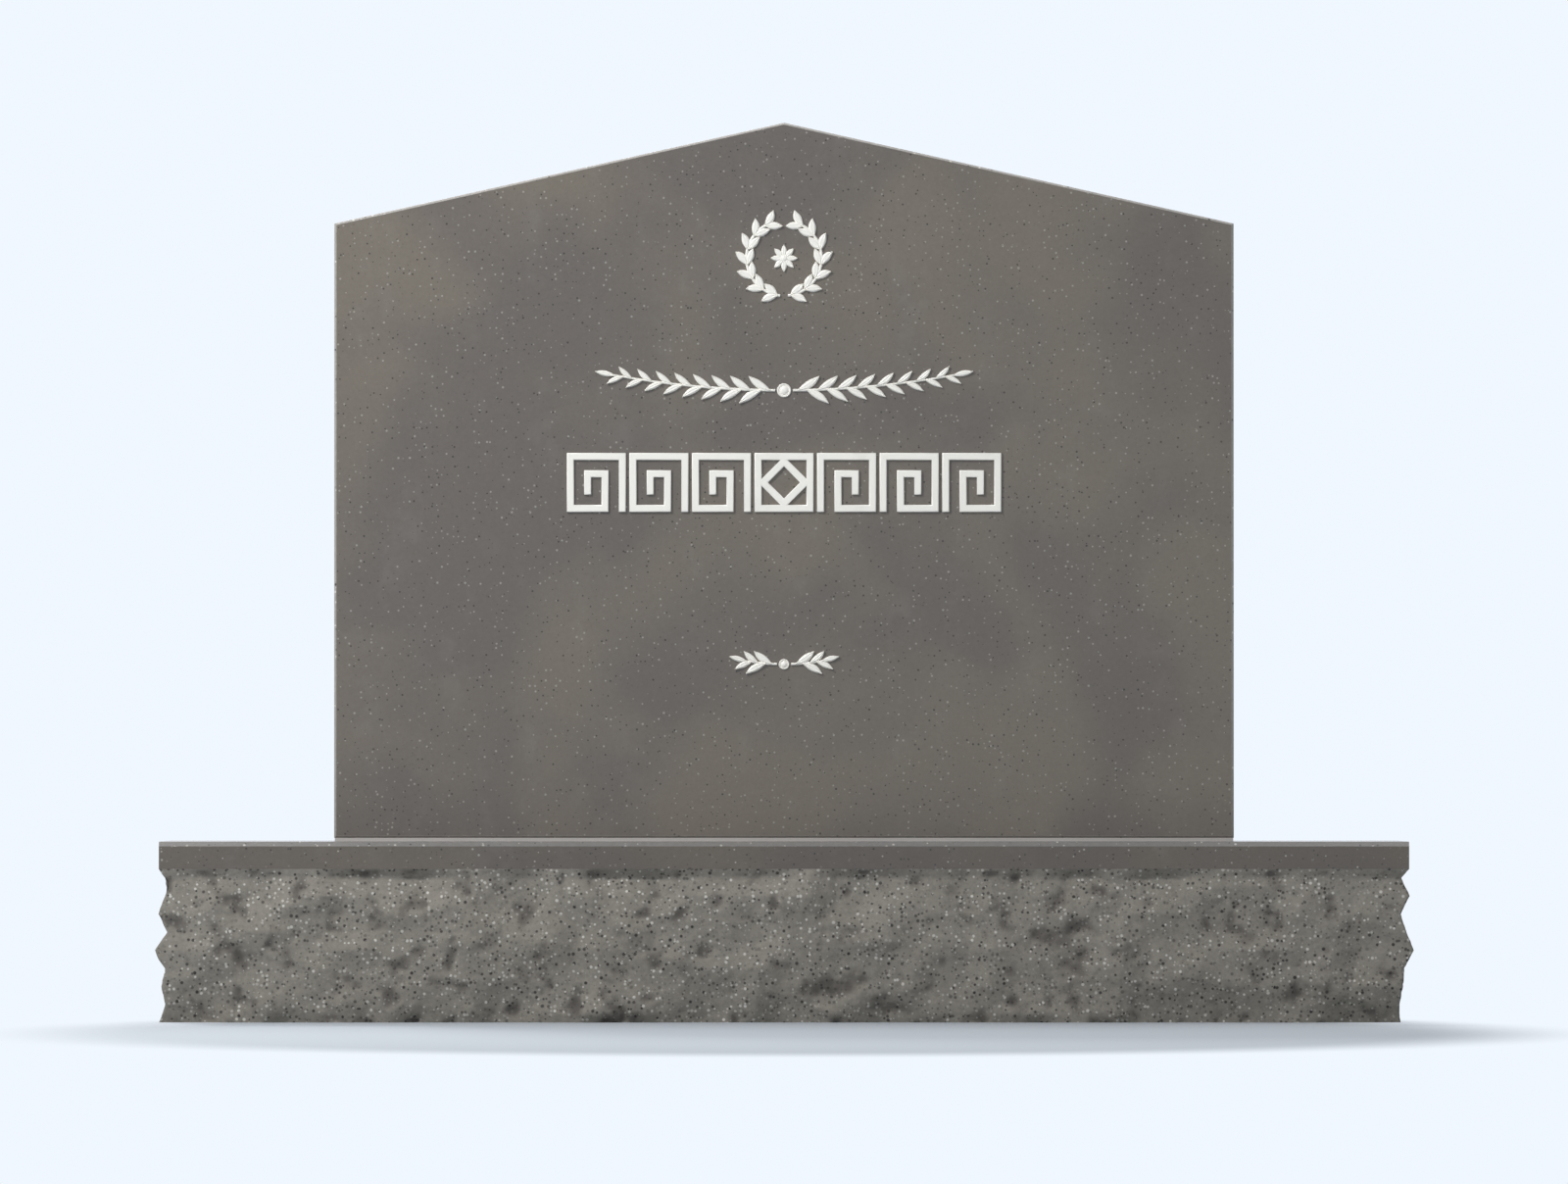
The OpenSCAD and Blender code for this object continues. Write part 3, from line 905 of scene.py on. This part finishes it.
class HEADSTONE_OT_wreath(bpy.types.Operator):
    """Make the wreath's two halves and the rosette inside it"""
    bl_idname = "headstone.wreath"
    bl_label = "Wreath"

    def execute(self, context):
        settings = context.scene.headstone_ornament
        centre = middle("wreath_rosette")
        low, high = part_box("wreath_right")
        reach = max(high.x - centre.x, centre.z - low.z)
        radius = reach - settings.wreath_leaf * math.sin(WREATH_FLARE)
        begin, end = WREATH_STEM
        for side, node in ((-1, "wreath_left"), (1, "wreath_right")):
            bm = bmesh.new()
            add_stem(bm, lambda t: on_circle(radius, begin + t * (end - begin)),
                     lambda t: WREATH_STEM_WIDTH)
            self.add_leaves(bm, radius, settings)
            add_cast(bm, node, centre, side)
        self.make_rosette(centre, settings)
        return {"FINISHED"}

    def add_leaves(self, bm, radius, settings):
        """Adds the pairs of leaves along the right half's stem."""
        first, last = WREATH_LEAVES
        for index in range(settings.wreath_pairs):
            angle = first + index * (last - first) / (settings.wreath_pairs - 1)
            for turn in (-1, 1):
                add_leaf(bm, on_circle(radius + turn * WREATH_LEAF_ROOT, angle),
                         angle + math.pi / 2 - turn * WREATH_FLARE, settings.wreath_leaf,
                         WREATH_LEAF_WIDTH, relief(), settings.leaf_rib, bend=0.05 * turn + 0.03)

    def make_rosette(self, centre, settings):
        """Makes a ring of petals round a domed eye."""
        bm = bmesh.new()
        for index in range(PETALS):
            angle = math.tau * index / PETALS
            add_leaf(bm, on_circle(PETAL_ROOT, angle), angle, PETAL_LENGTH, PETAL_WIDTH,
                     PETAL_HEIGHT * relief(), settings.leaf_rib, bend=0)
        add_dome(bm, ROSETTE_EYE, relief())
        add_cast(bm, "wreath_rosette", centre, side=1)


def make_boss(centre, node, radius):
    """A domed boss inside a round rim, both on a plate."""
    height = relief()
    rim = BOSS_RIM["radius"] * radius
    bm = bmesh.new()
    add_dome(bm, BOSS_DOME * radius, height)
    add_ring(bm, rim, BOSS_RIM["width"] * radius, BOSS_RIM["height"] * height)
    add_disc(bm, rim, BOSS_PLATE_HEIGHT * height)
    add_cast(bm, node, centre, side=1)


def make_sprays(line, boss, leaf, width, pairs, rise, rib):
    """The two sprays and the boss of a laurel or sprig."""
    centre = middle(boss)
    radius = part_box(boss)[1].x - centre.x
    for side, node in ((-1, line + "_left"), (1, line + "_right")):
        low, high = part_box(node)
        length = max(abs(low.x), abs(high.x)) - centre.x
        bm = bmesh.new()
        add_spray(bm, length, rise, pairs, leaf, width, radius + BOSS_GAP, rib)
        add_cast(bm, node, centre, side)
    make_boss(centre, boss, radius)


class HEADSTONE_OT_laurel(bpy.types.Operator):
    """Make the laurel's two sprays and its boss"""
    bl_idname = "headstone.laurel"
    bl_label = "Laurel"

    def execute(self, context):
        settings = context.scene.headstone_ornament
        make_sprays("laurel", "laurel_boss", settings.laurel_leaf, LAUREL_LEAF_WIDTH,
                    settings.laurel_pairs, LAUREL_RISE, settings.leaf_rib)
        return {"FINISHED"}


class HEADSTONE_OT_sprig(bpy.types.Operator):
    """Make the small sprig's two sprays and its boss"""
    bl_idname = "headstone.sprig"
    bl_label = "Sprig"

    def execute(self, context):
        settings = context.scene.headstone_ornament
        make_sprays("sprig", "sprig_boss", settings.sprig_leaf, SPRIG_LEAF_WIDTH,
                    settings.sprig_pairs, SPRIG_RISE, settings.leaf_rib)
        return {"FINISHED"}


class HEADSTONE_OT_key_band(bpy.types.Operator):
    """Make the key band's six keys and middle diamond, with rounded front edges"""
    bl_idname = "headstone.key_band"
    bl_label = "Key Band"

    def execute(self, context):
        settings = context.scene.headstone_ornament
        for node in sorted(name for name in frame["nodes"] if name.startswith("key_")):
            bm = merged_copy(node)
            flatten_faces(bm)
            low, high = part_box(node)
            rim = [edge for edge in bm.edges
                   if all(vert.co.y - low.y < SEAM for vert in edge.verts)
                   and edge.calc_face_angle(0) > CREASE]
            round_edges(bm, rim, settings.bevel, segments=4)
            rise = bm.verts.layers.float.new("rise")
            for vert in bm.verts:
                vert[rise] = (high.y - vert.co.y) / (high.y - low.y)
            for face in bm.faces:
                face.smooth = 1 - LEVEL < abs(face.normal.y) < LEVEL
            add_piece(node + "_cast", bm, ["white_enamel"], [node])
        return {"FINISHED"}


# ---- Stage ----

def is_seen(tree):
    """1 for rays that show the backdrop: straight from the camera, in gloss or through glass."""
    path = tree.nodes.new("ShaderNodeLightPath").outputs
    direct = math_node(tree, "MAXIMUM", path["Is Camera Ray"], path["Is Glossy Ray"])
    return math_node(tree, "MAXIMUM", direct, path["Is Transmission Ray"])


class HEADSTONE_OT_stage(bpy.types.Operator):
    """Make the floor, the lamps, the world and the camera"""
    bl_idname = "headstone.stage"
    bl_label = "Stage"

    def execute(self, context):
        settings = context.scene.headstone_stage
        context.scene.view_settings.view_transform = "Standard"
        self.make_world(context.scene, settings)
        self.make_floor(context.scene, settings)
        self.make_lamp(context.scene, "key_lamp", settings.key_power, **KEY_LAMP)
        self.make_lamp(context.scene, "top_lamp", settings.top_power, **TOP_LAMP)
        self.make_sun(context.scene, "back_sun", settings.back_strength, BACK_SUN)
        self.make_camera(context.scene, settings)
        return {"FINISHED"}

    def make_world(self, scene, settings):
        """Pale light from all round, behind which the plain backdrop shows."""
        world = bpy.data.worlds.new("studio")
        world.use_nodes = True
        tree = world.node_tree
        tree.nodes.clear()
        soft = add_node(tree, "ShaderNodeBackground", {"Color": SKY,
                                                       "Strength": settings.ambient})
        plain = add_node(tree, "ShaderNodeBackground", {"Color": settings.backdrop,
                                                        "Strength": 1.0})
        mix = add_node(tree, "ShaderNodeMixShader",
                       {0: is_seen(tree), 1: soft.outputs[0], 2: plain.outputs[0]})
        add_node(tree, "ShaderNodeOutputWorld", {"Surface": mix.outputs[0]})
        scene.world = world

    def make_floor(self, scene, settings):
        """A floor that keeps the real shadow near the stone, with a darker oval there as a painted
        shadow pad, and fades to the backdrop.
        """
        bm = bmesh.new()
        bmesh.ops.create_circle(bm, cap_ends=True, segments=96, radius=FLOOR_RADIUS)
        mesh = bpy.data.meshes.new("floor")
        bm.to_mesh(mesh)
        bm.free()
        floor = bpy.data.objects.new("floor", mesh)
        scene.collection.objects.link(floor)
        material = bpy.data.materials.new("floor")
        material.use_nodes = True
        tree = material.node_tree
        tree.nodes.clear()
        place = tree.nodes.new("ShaderNodeTexCoord").outputs["Object"]
        oval = add_node(tree, "ShaderNodeMapping", {"Vector": place, **SHADOW_PAD_OVAL})
        away = add_node(tree, "ShaderNodeVectorMath", {0: oval.outputs[0]},
                        operation="LENGTH").outputs[1]
        far = ramp_between(tree, away, *SHADOW_PAD_FADE)
        # Inside the oval: the darker floor, a painted shadow pad that also takes the real shadow
        shadow_pad = add_node(tree, "ShaderNodeBsdfDiffuse", {"Color": settings.floor})
        plain = add_node(tree, "ShaderNodeEmission", {"Color": settings.backdrop,
                                                      "Strength": 1.0})
        factor = math_node(tree, "MULTIPLY", far, is_seen(tree))
        mix = add_node(tree, "ShaderNodeMixShader",
                       {0: factor, 1: shadow_pad.outputs[0], 2: plain.outputs[0]})
        add_node(tree, "ShaderNodeOutputMaterial", {"Surface": mix.outputs[0]})
        mesh.materials.append(material)

    def make_lamp(self, scene, name, power, place, aim, size):
        """A round soft lamp."""
        data = bpy.data.lights.new(name, "AREA")
        data.shape = "DISK"
        data.size = size
        data.energy = power
        self.hang(scene, data, place, aim)

    def make_sun(self, scene, name, strength, place):
        """A soft sun that shines from the place towards the origin."""
        data = bpy.data.lights.new(name, "SUN")
        data.angle = SUN_ANGLE
        data.energy = strength
        self.hang(scene, data, place, (0, 0, 0))

    def hang(self, scene, data, place, aim):
        """Hangs a lamp at the place and points it, with itself out of sight."""
        lamp = bpy.data.objects.new(data.name, data)
        lamp.location = place
        lamp.rotation_euler = (Vector(aim) - Vector(place)).to_track_quat("-Z", "Y").to_euler()
        lamp.visible_camera = False
        scene.collection.objects.link(lamp)

    def make_camera(self, scene, settings):
        data = bpy.data.cameras.new("camera")
        data.sensor_width = 36.0
        data.lens = data.sensor_width * settings.distance / settings.field
        data.clip_end = 200.0
        camera = bpy.data.objects.new("camera", data)
        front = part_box("tablet")[0].y
        camera.location = (0, front - settings.distance, settings.eye)
        toward = Vector((0, front, settings.aim)) - camera.location
        camera.rotation_euler = toward.to_track_quat("-Z", "Y").to_euler()
        scene.collection.objects.link(camera)
        scene.camera = camera


# ---- Add-on ----

class HEADSTONE_PT_panel(bpy.types.Panel):
    """Lists the settings and the steps that make the headstone"""
    bl_idname = "HEADSTONE_PT_panel"
    bl_label = "Headstone"
    bl_space_type = "VIEW_3D"
    bl_region_type = "UI"
    bl_category = "Headstone"

    def draw(self, context):
        for group in SETTINGS:
            settings = getattr(context.scene, group)
            box = self.layout.box()
            for name in settings.bl_rna.properties.keys():
                if name not in ("rna_type", "name"):
                    box.prop(settings, name)
        for step in STEPS:
            self.layout.operator(step.bl_idname)


SETTINGS = {
    "headstone_stone": StoneSettings,
    "headstone_granite": GraniteSettings,
    "headstone_ornament": OrnamentSettings,
    "headstone_stage": StageSettings,
}
STEPS = (
    HEADSTONE_OT_base,
    HEADSTONE_OT_tablet,
    HEADSTONE_OT_setting,
    HEADSTONE_OT_wreath,
    HEADSTONE_OT_laurel,
    HEADSTONE_OT_key_band,
    HEADSTONE_OT_sprig,
    HEADSTONE_OT_stage,
)


def register():
    for cls in (*SETTINGS.values(), *STEPS, HEADSTONE_PT_panel):
        bpy.utils.register_class(cls)
    for name, cls in SETTINGS.items():
        setattr(bpy.types.Scene, name, PointerProperty(type=cls))


def unregister():
    for name in SETTINGS:
        delattr(bpy.types.Scene, name)
    for cls in reversed((*SETTINGS.values(), *STEPS, HEADSTONE_PT_panel)):
        bpy.utils.unregister_class(cls)


def main():
    register()
    bpy.ops.headstone.base()
    bpy.ops.headstone.tablet()
    bpy.ops.headstone.setting()
    bpy.ops.headstone.wreath()
    bpy.ops.headstone.laurel()
    bpy.ops.headstone.key_band()
    bpy.ops.headstone.sprig()
    bpy.ops.headstone.stage()


if __name__ == "__main__":
    main()
